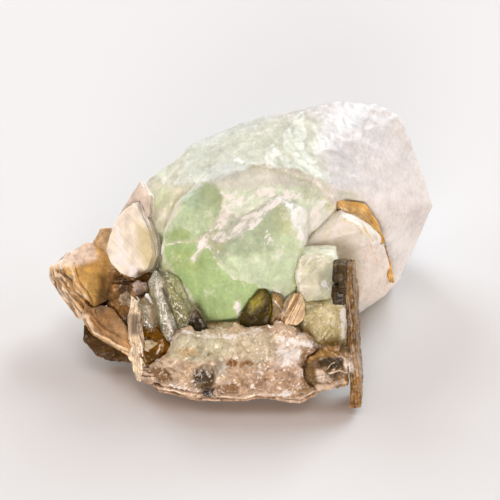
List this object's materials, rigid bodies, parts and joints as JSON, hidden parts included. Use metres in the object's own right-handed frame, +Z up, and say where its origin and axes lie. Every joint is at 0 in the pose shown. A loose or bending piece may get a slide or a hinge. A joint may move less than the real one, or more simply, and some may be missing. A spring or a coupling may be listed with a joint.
{
  "type": "fluorite with mica mineral specimen",
  "caption": "Hand specimen: a rounded mass of green to colourless fluorite on a granular quartz ledge, with books and a blade of brown and golden mica.",
  "frame": {"origin": "middle of the bounding box at the floor, under the specimen as it rests", "axes": "+X to the right, along the specimen's longest side; +Y to the back; +Z up"},
  "size_m": [0.0814, 0.062, 0.04],
  "materials": {
    "green_fluorite": "clear to milky crystal with flat cleavage steps, green in front and colourless at the back",
    "pale_fluorite": "clear pale yellowish green crystal with frosted edges",
    "cream_fluorite": "milky cream to peach crystal",
    "clear_quartz": "clear greyish prisms",
    "granular_quartz": "sugary, translucent grains with rusty brown spots",
    "brown_mica": "glossy brown sheets with fine parallel edges",
    "golden_mica": "pearly golden sheets with fine parallel edges",
    "pearly_mica": "pearly off-white sheets, finely striated"
  },
  "bodies": {
    "root": {"fluorite_mass": "green_fluorite", "fluorite_pale_crystal": "pale_fluorite", "fluorite_lower_block": "pale_fluorite", "fluorite_cream_block": "cream_fluorite", "quartz_ledge": "granular_quartz", "quartz_prism_long": "clear_quartz", "quartz_prism_green": "clear_quartz", "quartz_prism_short": "clear_quartz", "mica_blade": "brown_mica", "mica_blade_head": "brown_mica", "mica_blade_step": "brown_mica", "mica_book_outer": "golden_mica", "mica_book_middle": "brown_mica", "mica_slab_lower": "brown_mica", "mica_book_under": "brown_mica", "mica_book_inner": "brown_mica", "mica_book_pearl": "pearly_mica", "mica_sheet_back": "pearly_mica", "mica_seam_fan": "golden_mica", "mica_seam_tail": "golden_mica", "mica_book_olive": "brown_mica", "mica_book_streaked": "brown_mica", "mica_book_tan": "golden_mica", "mica_book_dark": "brown_mica", "mica_pocket": "golden_mica", "mica_patch_right": "brown_mica", "mica_rim": "brown_mica", "mica_sole": "brown_mica", "mica_book_rear": "brown_mica"}
  },
  "joints": []
}
